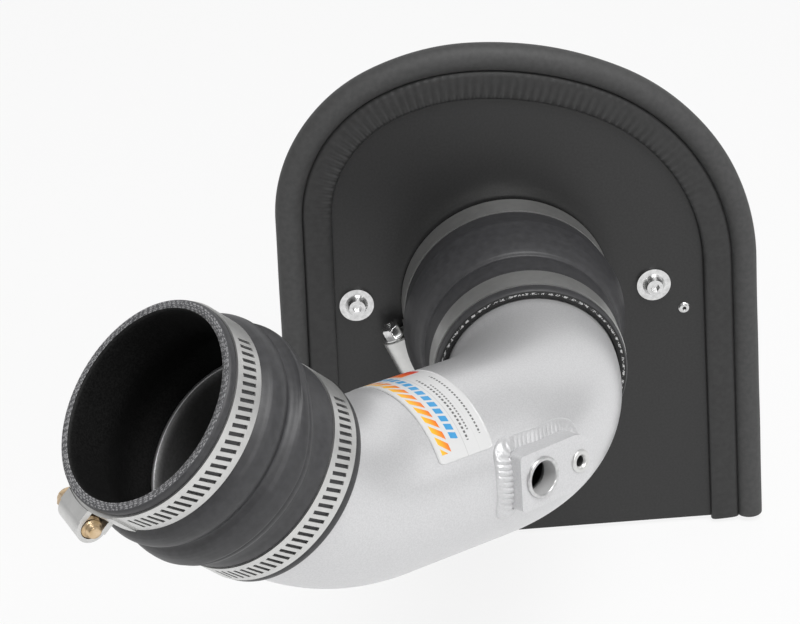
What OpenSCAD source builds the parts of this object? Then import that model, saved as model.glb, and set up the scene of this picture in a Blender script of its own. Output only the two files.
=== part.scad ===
/* [Intake tube] */
// outside diameter of the tube
tube_d = 76.2; // [60:0.1:102]
// wall of the tube
tube_wall = 1.6; // [1:0.1:3]
// centre-line radius of both bends
bend_r = 76.2; // [70:0.1:120]
// angle of the bend next to the shield
bend1_angle = 56; // [20:0.5:90]
// roll of the first bend above the horizontal
bend1_roll = 5.1; // [-30:0.1:30]
// straight length between the bends
mid_len = 53.5; // [10:0.5:150]
// angle of the bend next to the throttle hose
bend2_angle = 39; // [10:0.5:90]
// roll of the second bend against the first
bend2_roll = -82; // [-180:1:180]
// how far each tube end goes into its hose
tube_insert = 30; // [20:1:40]

// how much thinner the wall gets in the bends, on each side
bend_thin = 0.05; // [0.02:0.01:0.2]

/* [Throttle hose] */
// length of the throttle hose
front_len = 76.2; // [60:0.1:110]
// wall of both hoses
hose_wall = 4.2; // [3:0.1:6]
// outside radius at the crest of the hump
hump_r = 47.6; // [44:0.1:56]
// distance of the crest from the tube end of the hose
hump_at = 38.1; // [30:0.1:60]
// half length of the hump outside
hump_w = 20.8; // [12:0.1:24]
// half length of the hump's hollow inside
hollow_w = 17; // [8:0.1:20]
// distance of each band from the end of its hose
band_inset = 4.3; // [2:0.1:10]

/* [Filter hose] */
// length of the stepped hose from the shield
rear_len = 84.2; // [60:0.1:120]
// diameter of the filter spigot the hose goes over
spigot_d = 88.9; // [76:0.1:110]
// rise of the swell's crest above the hose's big end
swell_up = 2.75; // [1:0.05:12]
// distance of the crest from the shield
swell_at = 30; // [20:0.5:50]
// distance of the step from the shield
step_at = 52.5; // [40:0.5:70]
// distance of the small band from the shield
small_band_at = 65.9; // [55:0.1:75]
// distance of the big band from the shield
big_band_at = 2; // [1:0.1:10]

/* [Seats] */
// radial clearance between round pieces that sit on each other
seat = 0.05; // [0.02:0.01:0.2]

/* [Clamps] */
// width of every clamp band
band_w = 12.7; // [9:0.1:16]
// thickness of the band
band_t = 0.8; // [0.5:0.05:1.5]
// distance between the band's slots
slot_pitch = 3.2; // [2:0.1:5]
// length of a slot along the hose
slot_len = 7.4; // [4:0.1:9]
// width of a slot
slot_w = 1.5; // [0.8:0.1:2.5]
// slant of the slots
slot_slant = 14; // [0:1:25]
// width of the screw housing along the hose
house_w = 13.6; // [11:0.1:18]
// length of the screw housing round the hose
house_l = 17; // [12:0.5:24]
// outside radius of the housing's tunnel
house_r = 6.2; // [5.4:0.1:8]
// radius of the clamp screw's thread
worm_r = 4.4; // [3:0.1:5]
// hexagon of the clamp screw across flats
hex_af = 8; // [6:0.5:10]

/* [Shield] */
// thickness of the shield plate
plate_t = 2; // [1:0.1:4]
// left edge of the plate from the hole's axis
edge_left = 92.8; // [80:0.1:130]
// bottom edge of the plate below the hole's axis
edge_down = 129.5; // [100:0.5:180]
// height where the left side starts to curve, above the axis
side_up = 45.1; // [20:0.1:70]
// turn and radius of the corner at the left
turn1 = 66; // [40:1:80]
// radius of the left corner
edge_r1 = 64.1; // [40:0.1:90]
// radius of the crown left of its top
edge_r2 = 97.1; // [70:0.1:200]
// radius of the crown right of its top
edge_r3 = 147.1; // [90:0.1:250]
// turn of the crown right of its top
turn3 = 25; // [10:1:40]
// radius of the broad corner at the right
edge_r4 = 103.1; // [70:0.1:150]
// lean of the right side
lean = 3.2; // [0:0.1:10]
// gap round the filter spigot in the plate
hole_gap = 0.6; // [0.3:0.05:2]
// distance of each fixing bolt from the axis
bolt_at = 70; // [60:0.5:90]
// diameter of the fixing bolts
bolt_d = 6; // [5:0.5:8]
// radial clearance of a bolt in its hole
bolt_gap = 0.3; // [0.1:0.05:0.6]
// outside diameter of the washers
washer_d = 16; // [12:0.5:20]
// thickness of the washers
washer_t = 1.6; // [1:0.1:2.5]

// place of the small rivet from the hole's axis
rivet_x = 85; // [60:0.5:90]
// height of the small rivet
rivet_y = -13.7; // [-60:0.1:60]
// radius of the rivet's shank
rivet_r = 1.6; // [1:0.1:3]

/* [Edge seal] */
// width of the gripping strip over the edge
grip_w = 13; // [8:0.5:20]
// thickness of the gripping strip
grip_t = 8.6; // [5:0.1:12]
// outside radius of the seal's bulb
bulb_r = 6.3; // [3:0.1:9]
// wall of the bulb
bulb_wall = 1.9; // [1:0.1:3]

/* [Sensor pad] */
// length of the pad along the tube
pad_l = 42; // [30:1:60]
// width of the pad
pad_w = 24; // [16:1:34]
// height of the pad's face above the tube's highest line
pad_rise = 6.4; // [3:0.1:14]
// position of the pad's middle along the first bend
pad_at = 53; // [20:1:56]
// position of the pad round the tube
pad_round = 190.5; // [150:0.5:210]
// diameter of the sensor's opening in its grommet
sensor_d = 13.8; // [8:0.1:18]
// width of the weld round the pad
weld_w = 2.2; // [1:0.1:4]
// top of the weld against the tube's highest line
weld_h = -0.6; // [-1.5:0.1:1]
// distance of the sensor's opening from the pad's middle
sensor_off = 9.2; // [5:0.1:15]
// distance of the threaded insert from the pad's middle
insert_off = 12.7; // [8:0.1:16]
// core diameter of the insert's thread
insert_core = 4.2; // [3:0.1:6]

/* [Label] */
// start of the label along the straight between the bends
label_at = 19.5; // [0:0.5:40]
// width of the label along the tube
label_w = 28; // [10:0.5:50]
// length of the label round the tube in degrees
label_turn = 118; // [40:1:180]
// thickness of the label
label_t = 0.3; // [0.2:0.05:0.6]

/* [Air filter] */
// length of the spigot behind its flange
spigot_back = 34; // [25:1:50]
// outside radius of the filter flange
flange_r = 79; // [76:0.5:90]
// thickness of the filter flange
flange_t = 3.2; // [2:0.1:6]
// outside radius of the filter's base
base_r = 75; // [65:0.5:90]
// thickness of the filter's base
base_t = 14; // [8:0.5:24]
// length of the pleated part
media_len = 84; // [60:1:200]
// outside radius of the pleats at the base
media_r1 = 70; // [60:0.5:80]
// outside radius of the pleats at the cap
media_r2 = 58; // [45:0.5:75]
// depth of the pleats
media_t = 13; // [8:0.5:20]
// thickness of the end cap
cap_t = 12; // [8:0.5:20]

/* [Hidden] */
$fn = 72;
lap = 0.4;
seal_step = 0.15;
slot_gap = 0.1;
run_in = 3;
run_over = 6;
tube_r = tube_d / 2;
pad_h = tube_r + pad_rise;
tube_ri = tube_r - tube_wall;
bore_r = tube_r + seat;
hose_r = tube_r + hose_wall;
spigot_r = spigot_d / 2;
spigot_ri = spigot_r - 2.6;
over_r = spigot_r + seat;
big_r = spigot_r + hose_wall - 0.4;
swell_r = big_r + swell_up;
plate_hole_r = spigot_r + hole_gap;
bolt_r = bolt_d / 2;
bolt_hole_r = bolt_r + bolt_gap;
head_r = bolt_d * 0.875;
head_h = bolt_d * 0.55;
nut_h = bolt_d * 0.85;
turn2 = 90 - turn1;
turn4 = 90 - turn3 - lean;
bulb_x = 1 + bulb_r - 0.9;
void_r = bulb_r - bulb_wall;
c1x = -edge_left + edge_r1;
c1y = side_up;
c2x = c1x + (edge_r2 - edge_r1) * cos(turn1);
c2y = c1y - (edge_r2 - edge_r1) * sin(turn1);
c3x = c2x;
c3y = c2y - (edge_r3 - edge_r2);
c4x = c3x + (edge_r3 - edge_r4) * sin(turn3);
c4y = c3y + (edge_r3 - edge_r4) * cos(turn3);
p5x = c4x + edge_r4 * cos(lean);
p5y = c4y + edge_r4 * sin(lean);
right_len = (p5y + edge_down) / cos(lean);
p6x = p5x + right_len * sin(lean);
grommet_r = sensor_d / 2 + 0.9;
insert_r = insert_core / 2 + 1.4;
flange_y = plate_t;
spigot_y = flange_y + flange_t;
collar_y = spigot_y + 6;
collar_len = spigot_back - 8;
base_y = spigot_y + spigot_back - 2;
media_y = base_y + base_t;
cap_y = media_y + media_len;

// places on the tube's centre line; Z runs with the air towards the throttle
module at_start() {
    translate([0, -rear_len, 0])
        rotate([90, 0, 0])
            rotate([0, 0, 180 - bend1_roll])
                children();
}

module along_bend(turn) {
    translate([bend_r, 0, 0])
        rotate([0, turn, 0])
            translate([-bend_r, 0, 0])
                children();
}

module at_mid() {
    at_start()
        along_bend(bend1_angle)
            children();
}

module at_second() {
    at_mid()
        translate([0, 0, mid_len])
            rotate([0, 0, bend2_roll])
                children();
}

module at_end() {
    at_second()
        along_bend(bend2_angle)
            children();
}

module at_pad() {
    at_start()
        along_bend(pad_at)
            rotate([0, 0, pad_round])
                rotate([0, 90, 0])
                    children();
}

// faces the shield's front; Z comes towards the throttle side
module on_shield() {
    rotate([90, 0, 0])
        children();
}

module bend(turn) {
    difference() {
        bar_bend(tube_r - bend_thin, turn);
        along_bend(-1)
            bar_bend(tube_ri + bend_thin, turn + 2);
    }
}

module bar_bend(r, turn) {
    translate([bend_r, 0, 0])
        rotate([90, 0, 180])
            rotate_extrude(angle = turn)
                translate([bend_r, 0])
                    circle(r = r);
}

module straight(low, high) {
    translate([0, 0, low])
        difference() {
            cylinder(r = tube_r, h = high - low);
            translate([0, 0, -1])
                cylinder(r = tube_ri, h = high - low + 2);
        }
}

module pad_bore() {
    translate([-sensor_off, 0, 0])
        cylinder(r = grommet_r + seat, h = pad_h + 2);
}

module intake_pipe() {
    color([0.84, 0.84, 0.85])
        union() {
            at_start()
                straight(-tube_insert, lap);
            difference() {
                at_start()
                    bend(bend1_angle);
                at_pad()
                    pad_bore();
            }
            difference() {
                at_mid()
                    straight(-lap, mid_len + lap);
                at_pad()
                    pad_bore();
            }
            at_second()
                bend(bend2_angle);
            at_end()
                straight(-lap, tube_insert);
        }
}

module pad_outline(grow) {
    translate([-pad_l / 2 + 2 - grow, -pad_w / 2 - grow])
        square([pad_l - 2 - pad_w / 2 + grow, pad_w + 2 * grow]);
    translate([-pad_l / 2 - grow, -pad_w / 2 + 2 - grow])
        square([3, pad_w - 4 + 2 * grow]);
    for (side = [-1, 1])
        translate([-pad_l / 2 + 2 - grow, side * (pad_w / 2 - 2 + grow)])
            circle(r = 2);
    translate([pad_l / 2 - pad_w / 2, 0])
        circle(r = pad_w / 2 + grow);
}

// the tube's outside round the pad; the straight's is a seat wider
module tube_room() {
    at_start()
        bar_bend(tube_r + seat, bend1_angle);
    at_mid()
        translate([0, 0, -1])
            cylinder(r = tube_r + 2 * seat, h = mid_len);
}

module sensor_pad() {
    color([0.82, 0.82, 0.83])
        difference() {
            at_pad()
                translate([0, 0, tube_r - 6])
                    linear_extrude(pad_h - tube_r + 6)
                        pad_outline(0);
            tube_room();
            at_pad()
                pad_bore();
            at_pad()
                translate([insert_off, 0, tube_r + 0.8])
                    cylinder(r = insert_r + seat, h = pad_h);
        }
}

module pad_weld() {
    $fn = 180;
    color([0.8, 0.8, 0.81])
        difference() {
            at_pad()
                translate([0, 0, tube_r - 6])
                    linear_extrude(weld_h + 6)
                        difference() {
                            pad_outline(weld_w);
                            pad_outline(0);
                        }
            tube_room();
        }
}

module sensor_grommet() {
    color([0.16, 0.16, 0.17])
        at_pad()
            translate([-sensor_off, 0, 0])
                difference() {
                    union() {
                        translate([0, 0, tube_r + 0.5])
                            cylinder(r = grommet_r, h = pad_h - tube_r);
                        translate([0, 0, pad_h])
                            cylinder(r = grommet_r + 0.9, h = 1.2);
                    }
                    cylinder(r = sensor_d / 2, h = pad_h + 3);
                }
}

module sensor_insert() {
    color([0.72, 0.72, 0.7])
        at_pad()
            translate([insert_off, 0, 0])
                difference() {
                    union() {
                        translate([0, 0, tube_r + 0.8])
                            cylinder(r = insert_r, h = pad_h - tube_r - 0.8);
                        translate([0, 0, pad_h])
                            cylinder(r = insert_r + 1.4, h = 0.9);
                    }
                    translate([0, 0, tube_r + 1.8])
                        cylinder(r = insert_core / 2, h = pad_h);
                }
}

module pipe_label() {
    color([0.95, 0.95, 0.95])
        at_mid()
            translate([0, 0, label_at])
                rotate([0, 0, -146])
                    rotate_extrude(angle = label_turn)
                        translate([tube_r + seat, 0])
                            square([label_t, label_w]);
}

function hump(z, w) = abs(z) >= w ? 0 : pow((1 + cos(180 * z / w)) / 2, 0.45);

module throttle_hose() {
    rise = hump_r - hose_r;
    hollow = hump_r - hose_wall - bore_r;
    color([0.2, 0.2, 0.21])
        at_end()
            rotate_extrude()
                polygon(concat([[bore_r, 0], [hose_r, 0]],
                    [for (i = [-7 : 7]) [hose_r + rise * hump(i * hump_w / 7, hump_w),
                        hump_at + i * hump_w / 7]],
                    [[hose_r, front_len], [bore_r, front_len]],
                    [for (i = [4 : -1 : -4]) [bore_r + hollow * hump(i * hollow_w / 4, hollow_w),
                        hump_at + i * hollow_w / 4]]));
}

module filter_hose() {
    color([0.2, 0.2, 0.21])
        on_shield()
            rotate_extrude()
                polygon([[over_r, 0], [big_r, 0], [big_r, swell_at - 10],
                    [swell_r - 1.2, swell_at - 5], [swell_r, swell_at],
                    [swell_r - 0.8, swell_at + 6], [hose_r + 3, step_at - 1.5],
                    [hose_r + 1.6, step_at], [hose_r, step_at + 1.5],
                    [hose_r, rear_len], [bore_r, rear_len],
                    [bore_r, step_at], [swell_r - 5.6, swell_at + 5],
                    [swell_r - 5, swell_at], [over_r, swell_at - 6]]);
}

// worm-drive clamp round a hose of radius r; the housing sits on +X
module band(r, first, last) {
    slots = floor((last - first) * PI * r / 180 / slot_pitch);
    difference() {
        union() {
            rotate_extrude()
                translate([r + seat, 0])
                    square([band_t, band_w]);
            rotate([0, 0, -14])
                rotate_extrude(angle = 44)
                    translate([r + seat + band_t / 2, 0])
                        square([band_t * 1.5, band_w]);
        }
        for (i = [0 : slots - 1])
            rotate([0, 0, first + i * slot_pitch * 180 / PI / r])
                translate([r + band_t / 2, 0, band_w / 2])
                    rotate([slot_slant, 0, 0])
                        cube([4, slot_w, slot_len], center = true);
    }
}

module housing(r) {
    axis = r + 2 * (band_t + seat) + worm_r + 0.1;
    translate([0, 0, band_w / 2])
        difference() {
            union() {
                translate([axis, house_l / 2, 0])
                    rotate([90, 0, 0])
                        cylinder(r = house_r, h = house_l);
                translate([r - 2, -house_l / 2, -house_w / 2])
                    cube([axis - r + 2, house_l, house_w]);
            }
            translate([0, 0, -band_w])
                cylinder(r = r + 2 * (band_t + seat), h = 2 * band_w);
            translate([axis, house_l, 0])
                rotate([90, 0, 0])
                    cylinder(r = worm_r + 0.1, h = 2 * house_l);
            translate([r, -house_l, -worm_r - 0.1])
                cube([axis - r, 2 * house_l, 2 * worm_r + 0.2]);
        }
}

module screw(r) {
    axis = r + 2 * (band_t + seat) + worm_r + 0.1;
    translate([axis, 0, band_w / 2])
        rotate([90, 0, 0])
            difference() {
                union() {
                    translate([0, 0, -house_l / 2 - 1.6])
                        cylinder(r = worm_r, h = house_l + 1.6);
                    translate([0, 0, -house_l / 2 - 3.2])
                        cylinder(r = worm_r * 0.6, h = 1.7);
                    translate([0, 0, house_l / 2])
                        cylinder(r = house_r - 1, h = 1.3);
                    translate([0, 0, house_l / 2 + 1.3])
                        cylinder(r = hex_af / sqrt(3), h = 5, $fn = 6);
                }
                translate([0, 0, house_l / 2 + 5.8])
                    cube([1.1, 12, 3], center = true);
            }
}

// places of the clamps; each turns the housing to its own side
module on_throttle_end() {
    at_end()
        translate([0, 0, front_len - band_inset - band_w])
            rotate([0, 0, 165])
                children();
}

module on_tube_end() {
    at_end()
        translate([0, 0, band_inset])
            rotate([0, 0, 84])
                children();
}

module on_elbow_end() {
    on_shield()
        translate([0, 0, small_band_at])
            rotate([0, 0, 280])
                children();
}

module on_spigot_end() {
    on_shield()
        translate([0, 0, big_band_at])
            rotate([0, 0, 204])
                children();
}

module on_filter_end() {
    on_shield()
        translate([0, 0, -collar_y - 6 - band_w])
            rotate([0, 0, 120])
                children();
}

module throttle_band() {
    color([0.78, 0.78, 0.78])
        on_throttle_end()
            band(hose_r, 38, 172);
}

module throttle_housing() {
    color([0.78, 0.78, 0.78])
        on_throttle_end()
            housing(hose_r);
}

module throttle_screw() {
    color([0.75, 0.62, 0.32])
        on_throttle_end()
            screw(hose_r);
}

module tube_band() {
    color([0.78, 0.78, 0.78])
        on_tube_end()
            band(hose_r, 110, 250);
}

module tube_housing() {
    color([0.78, 0.78, 0.78])
        on_tube_end()
            housing(hose_r);
}

module tube_screw() {
    color([0.75, 0.62, 0.32])
        on_tube_end()
            screw(hose_r);
}

module elbow_band() {
    color([0.72, 0.72, 0.73])
        on_elbow_end()
            band(hose_r, 32, 90);
}

module elbow_housing() {
    color([0.74, 0.74, 0.75])
        on_elbow_end()
            housing(hose_r);
}

module elbow_screw() {
    color([0.74, 0.74, 0.75])
        on_elbow_end()
            screw(hose_r);
}

module spigot_band() {
    color([0.72, 0.72, 0.73])
        on_spigot_end()
            band(big_r, 40, 110);
}

module spigot_housing() {
    color([0.74, 0.74, 0.75])
        on_spigot_end()
            housing(big_r);
}

module spigot_screw() {
    color([0.74, 0.74, 0.75])
        on_spigot_end()
            screw(big_r);
}

module pie(x, y, r, from, turn, low, high) {
    translate([x, y, 0])
        rotate([0, 0, from])
            rotate_extrude(angle = turn)
                translate([0, low])
                    square([r, high - low]);
}

// the plate without its holes
// the larger arc always runs a little past the smaller one it meets
module plate_pie(x, y, r, from, turn, before, after) {
    start = from - before * 180 / PI / r;
    pie(x, y, r, start, turn + (before + after) * 180 / PI / r,
        -plate_t, 0);
}

module plate_body() {
    plate_pie(c1x, c1y, edge_r1, 180 - turn1, turn1, -run_in, -run_in);
    plate_pie(c2x, c2y, edge_r2, 90, turn2, -run_in, run_over);
    plate_pie(c3x, c3y, edge_r3, 90 - turn3, turn3, run_over, run_over);
    plate_pie(c4x, c4y, edge_r4, lean, turn4, -run_in, -run_in);
    translate([0, 0, -plate_t])
        linear_extrude(plate_t)
            polygon([[-edge_left, -edge_down],
                [-edge_left, side_up + run_over],
                [c1x - edge_r1 * cos(turn1) / 2, c1y + edge_r1 / 2],
                [c2x, c2y + edge_r2 / 2],
                [c4x + edge_r4 / 2, c4y + edge_r4 / 2],
                [p5x - run_over * sin(lean), p5y + run_over * cos(lean)],
                [p6x, -edge_down]]);
}

module shield_plate() {
    color([0.2, 0.2, 0.2])
        on_shield()
            difference() {
                plate_body();
                translate([0, 0, -plate_t - 1])
                    cylinder(r = plate_hole_r, h = plate_t + 2);
                for (side = [-1, 1])
                    translate([side * bolt_at, 0, -plate_t - 1])
                        cylinder(r = bolt_hole_r, h = plate_t + 2);
                translate([rivet_x, rivet_y, -plate_t - 1])
                    cylinder(r = rivet_r + seat, h = plate_t + 2);
            }
}

// half sections of the seal; X points out of the plate's edge
module strip_section(g) {
    low = -plate_t / 2 - grip_t / 2 - g;
    high = -plate_t / 2 + grip_t / 2 + g;
    inner = 1 - grip_w - g;
    polygon([[inner, low + 1.6], [inner, high - 1.6], [inner + 1.2, high],
        [-0.2, high], [1 + g, high - 1.2], [1 + g, low + 1.2], [-0.2, low],
        [inner + 1.2, low]]);
}

module bulb_section(r) {
    translate([bulb_x, -plate_t / 2])
        circle(r = r);
}

module edge_arc(x, y, r, from, turn, more) {
    over = more * 180 / PI / r;
    translate([x, y, 0])
        rotate([0, 0, from - over])
            rotate_extrude(angle = turn + 2 * over)
                translate([r, 0])
                    children();
}

module edge_left_side(more) {
    translate([-edge_left, -edge_down - more, 0])
        rotate([90, 0, 180])
            linear_extrude(side_up + edge_down + more + lap)
                children();
}

module edge_right_side(more) {
    translate([p5x, p5y, 0])
        rotate([0, 0, lean])
            rotate([90, 0, 0])
                linear_extrude(right_len + more)
                    children();
}

module seal_solid(bulb) {
    edge_left_side(0)
        seal_profile(bulb, seal_step);
    edge_arc(c1x, c1y, edge_r1, 180 - turn1, turn1, 0)
        seal_profile(bulb, 0);
    edge_arc(c2x, c2y, edge_r2, 90, turn2, lap)
        seal_profile(bulb, seal_step);
    edge_arc(c3x, c3y, edge_r3, 90 - turn3, turn3, 0)
        seal_profile(bulb, 0);
    edge_arc(c4x, c4y, edge_r4, lean, turn4, lap)
        seal_profile(bulb, seal_step);
    edge_right_side(0)
        seal_profile(bulb, 0);
}

module seal_profile(bulb, g) {
    if (bulb)
        bulb_section(bulb_r + g);
    else
        strip_section(g);
}

// slot for the plate, a little deeper than the plate's edge needs
module slot_section(g) {
    translate([-grip_w - 3, -plate_t - g])
        square([grip_w + 3 + g, plate_t + 2 * g]);
}

module hollow_profile(bulb, g) {
    if (bulb)
        bulb_section(void_r + g);
    else
        slot_section(slot_gap + g);
}

module seal_hollow(bulb) {
    edge_left_side(1)
        hollow_profile(bulb, 0);
    edge_arc(c1x, c1y, edge_r1, 180 - turn1, turn1, lap)
        hollow_profile(bulb, seal_step);
    edge_arc(c2x, c2y, edge_r2, 90, turn2, 0)
        hollow_profile(bulb, 0);
    edge_arc(c3x, c3y, edge_r3, 90 - turn3, turn3, lap)
        hollow_profile(bulb, seal_step);
    edge_arc(c4x, c4y, edge_r4, lean, turn4, 0)
        hollow_profile(bulb, 0);
    edge_right_side(1)
        hollow_profile(bulb, seal_step);
}

module edge_seal() {
    color([0.26, 0.26, 0.27])
        on_shield()
            difference() {
                union() {
                    seal_solid(false);
                    seal_solid(true);
                }
                seal_hollow(false);
                seal_hollow(true);
            }
}

module shield_bolt(side) {
    color([0.14, 0.14, 0.14])
        on_shield()
            translate([side * bolt_at, 0, 0])
                difference() {
                    union() {
                        translate([0, 0, -plate_t - flange_t - nut_h - 2])
                            cylinder(r = bolt_r, h = plate_t + flange_t + nut_h + 2 + washer_t);
                        translate([0, 0, washer_t])
                            cylinder(r1 = head_r, r2 = head_r * 0.72, h = head_h);
                    }
                    translate([0, 0, washer_t + head_h - 2])
                        cylinder(r = bolt_d / 3 / cos(30), h = 3, $fn = 6);
                }
}

module shield_washer(side) {
    color([0.2, 0.2, 0.2])
        on_shield()
            translate([side * bolt_at, 0, 0])
                difference() {
                    cylinder(r = washer_d / 2, h = washer_t);
                    translate([0, 0, -1])
                        cylinder(r = bolt_hole_r, h = washer_t + 2);
                }
}

module shield_nut(side) {
    color([0.6, 0.6, 0.6])
        on_shield()
            translate([side * bolt_at, 0, -plate_t - flange_t - nut_h])
                difference() {
                    union() {
                        cylinder(r = bolt_d * 0.94, h = nut_h, $fn = 6);
                        translate([0, 0, nut_h - 1.2])
                            cylinder(r = bolt_d * 1.1, h = 1.2);
                    }
                    translate([0, 0, -1])
                        cylinder(r = bolt_r + seat, h = nut_h + 2);
                }
}

module shield_bolt_left() {
    shield_bolt(-1);
}

module shield_bolt_right() {
    shield_bolt(1);
}

module shield_washer_left() {
    shield_washer(-1);
}

module shield_washer_right() {
    shield_washer(1);
}

module shield_nut_left() {
    shield_nut(-1);
}

module shield_nut_right() {
    shield_nut(1);
}

module shield_rivet() {
    color([0.75, 0.75, 0.75])
        on_shield()
            translate([rivet_x, rivet_y, 0]) {
                translate([0, 0, -plate_t])
                    cylinder(r = rivet_r, h = plate_t);
                cylinder(r1 = rivet_r * 1.8, r2 = rivet_r * 1.2, h = rivet_r * 0.75);
                translate([0, 0, -plate_t - rivet_r * 0.75])
                    cylinder(r = rivet_r * 1.6, h = rivet_r * 0.75);
            }
}

module filter_adapter() {
    color([0.7, 0.7, 0.71])
        on_shield()
            difference() {
                union() {
                    translate([0, 0, -spigot_y - spigot_back])
                        cylinder(r = spigot_r, h = spigot_y + spigot_back + 22);
                    translate([0, 0, -spigot_y])
                        cylinder(r = flange_r, h = flange_t);
                }
                translate([0, 0, -spigot_y - spigot_back - 1])
                    cylinder(r = spigot_ri, h = spigot_y + spigot_back + 24);
                for (side = [-1, 1])
                    translate([side * bolt_at, 0, -spigot_y - 1])
                        cylinder(r = bolt_hole_r, h = flange_t + 2);
            }
}

module filter_base() {
    color([0.15, 0.15, 0.15])
        on_shield()
            difference() {
                union() {
                    translate([0, 0, -collar_y - collar_len])
                        cylinder(r = spigot_r + hose_wall, h = collar_len);
                    translate([0, 0, -base_y - base_t])
                        cylinder(r = base_r, h = base_t);
                }
                translate([0, 0, -base_y - base_t - 1])
                    cylinder(r = over_r, h = base_y + base_t);
            }
}

module filter_media() {
    color([0.55, 0.12, 0.1])
        on_shield()
            translate([0, 0, -cap_y])
                difference() {
                    cylinder(r1 = media_r2, r2 = media_r1, h = media_len);
                    translate([0, 0, -0.01])
                        cylinder(r1 = media_r2 - media_t, r2 = media_r1 - media_t, h = media_len + 0.02);
                }
}

module filter_cap() {
    color([0.15, 0.15, 0.15])
        on_shield()
            translate([0, 0, -cap_y - cap_t]) {
                cylinder(r1 = media_r2 - 3, r2 = media_r2 + 2, h = 5);
                translate([0, 0, 5])
                    cylinder(r = media_r2 + 2, h = cap_t - 5);
            }
}

module filter_band() {
    color([0.72, 0.72, 0.73])
        on_filter_end()
            band(spigot_r + hose_wall, 40, 110);
}

module filter_housing() {
    color([0.74, 0.74, 0.75])
        on_filter_end()
            housing(spigot_r + hose_wall);
}

module filter_screw() {
    color([0.74, 0.74, 0.75])
        on_filter_end()
            screw(spigot_r + hose_wall);
}

shield_plate();
edge_seal();
shield_bolt_left();
shield_bolt_right();
shield_washer_left();
shield_washer_right();
shield_nut_left();
shield_nut_right();
shield_rivet();
intake_pipe();
sensor_pad();
pad_weld();
sensor_grommet();
sensor_insert();
pipe_label();
throttle_hose();
throttle_band();
throttle_housing();
throttle_screw();
tube_band();
tube_housing();
tube_screw();
filter_hose();
elbow_band();
elbow_housing();
elbow_screw();
spigot_band();
spigot_housing();
spigot_screw();
filter_adapter();
filter_base();
filter_media();
filter_cap();
filter_band();
filter_housing();
filter_screw();
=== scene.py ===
"""Looks of a cold air intake pipe: a bent tube, its hose couplers and clamps, a heat shield and a filter."""

import math

import bpy
import numpy as np
from mathutils import Matrix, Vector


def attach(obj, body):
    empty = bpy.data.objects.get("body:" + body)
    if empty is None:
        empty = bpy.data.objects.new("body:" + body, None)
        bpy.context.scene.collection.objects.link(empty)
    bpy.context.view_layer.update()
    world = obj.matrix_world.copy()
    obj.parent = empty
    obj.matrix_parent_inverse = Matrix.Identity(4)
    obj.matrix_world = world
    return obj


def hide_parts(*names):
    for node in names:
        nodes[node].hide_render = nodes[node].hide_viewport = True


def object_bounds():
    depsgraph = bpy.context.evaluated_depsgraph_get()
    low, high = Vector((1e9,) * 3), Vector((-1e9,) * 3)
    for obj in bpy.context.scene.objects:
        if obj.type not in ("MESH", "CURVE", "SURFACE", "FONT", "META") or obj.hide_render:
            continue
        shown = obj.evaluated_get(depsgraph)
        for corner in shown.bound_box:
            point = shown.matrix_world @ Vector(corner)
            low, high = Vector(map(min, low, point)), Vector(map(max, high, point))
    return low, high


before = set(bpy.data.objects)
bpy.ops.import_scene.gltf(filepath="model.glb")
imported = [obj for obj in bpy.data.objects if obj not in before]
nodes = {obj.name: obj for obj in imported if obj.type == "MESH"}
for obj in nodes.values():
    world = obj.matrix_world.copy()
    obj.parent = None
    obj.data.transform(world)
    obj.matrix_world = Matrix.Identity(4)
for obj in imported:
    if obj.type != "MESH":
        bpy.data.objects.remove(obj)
cad_low, cad_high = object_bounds()

MM = 0.001

# ---------------------------------------------------------------- tube layout
BEND_R = 76.2
BEND_1 = 56.0
ROLL_1 = 5.1
MID_LEN = 53.5
BEND_2 = 39.0
ROLL_2 = -82.0
REAR_LEN = 84.2
TUBE_R = 38.1


def turn_x(deg):
    """Rotation by deg about X."""
    c, s = math.cos(math.radians(deg)), math.sin(math.radians(deg))
    return np.array([[1, 0, 0], [0, c, -s], [0, s, c]])


def turn_y(deg):
    """Rotation by deg about Y."""
    c, s = math.cos(math.radians(deg)), math.sin(math.radians(deg))
    return np.array([[c, 0, s], [0, 1, 0], [-s, 0, c]])


def turn_z(deg):
    """Rotation by deg about Z."""
    c, s = math.cos(math.radians(deg)), math.sin(math.radians(deg))
    return np.array([[c, -s, 0], [s, c, 0], [0, 0, 1]])


class Place:
    """A turned and moved frame on the tube: a point p in it lies at origin + turn @ p, in millimetres."""

    def __init__(self, origin, turn):
        self.origin, self.turn = np.array(origin, float), turn

    def put(self, points):
        return self.origin + np.asarray(points) @ self.turn.T

    def then(self, origin, turn=None):
        turn = np.eye(3) if turn is None else turn
        return Place(self.put(np.array(origin, float)), self.turn @ turn)


def round_bend(place, deg):
    """The frame after a bend of deg: it swings about the bend's centre, one bend radius along X."""
    a = math.radians(deg)
    return place.then([BEND_R * (1 - math.cos(a)), 0, BEND_R * math.sin(a)], turn_y(deg))


at_start = Place([0, -REAR_LEN, 0], turn_x(90) @ turn_z(180 - ROLL_1))
at_mid = round_bend(at_start, BEND_1)
at_second = at_mid.then([0, 0, MID_LEN], turn_z(ROLL_2))
at_end = round_bend(at_second, BEND_2)


# ---------------------------------------------------------------- materials
def material(name, color, roughness, metallic=0.0, coat=0.0, specular=0.5):
    """A new principled material with plain numbers on the shader's own sockets."""
    m = bpy.data.materials.new(name)
    m.use_nodes = True
    b = m.node_tree.nodes["Principled BSDF"]
    b.inputs["Base Color"].default_value = (*color, 1)
    b.inputs["Roughness"].default_value = roughness
    b.inputs["Metallic"].default_value = metallic
    b.inputs["Coat Weight"].default_value = coat
    b.inputs["Specular IOR Level"].default_value = specular
    return m, b


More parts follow.
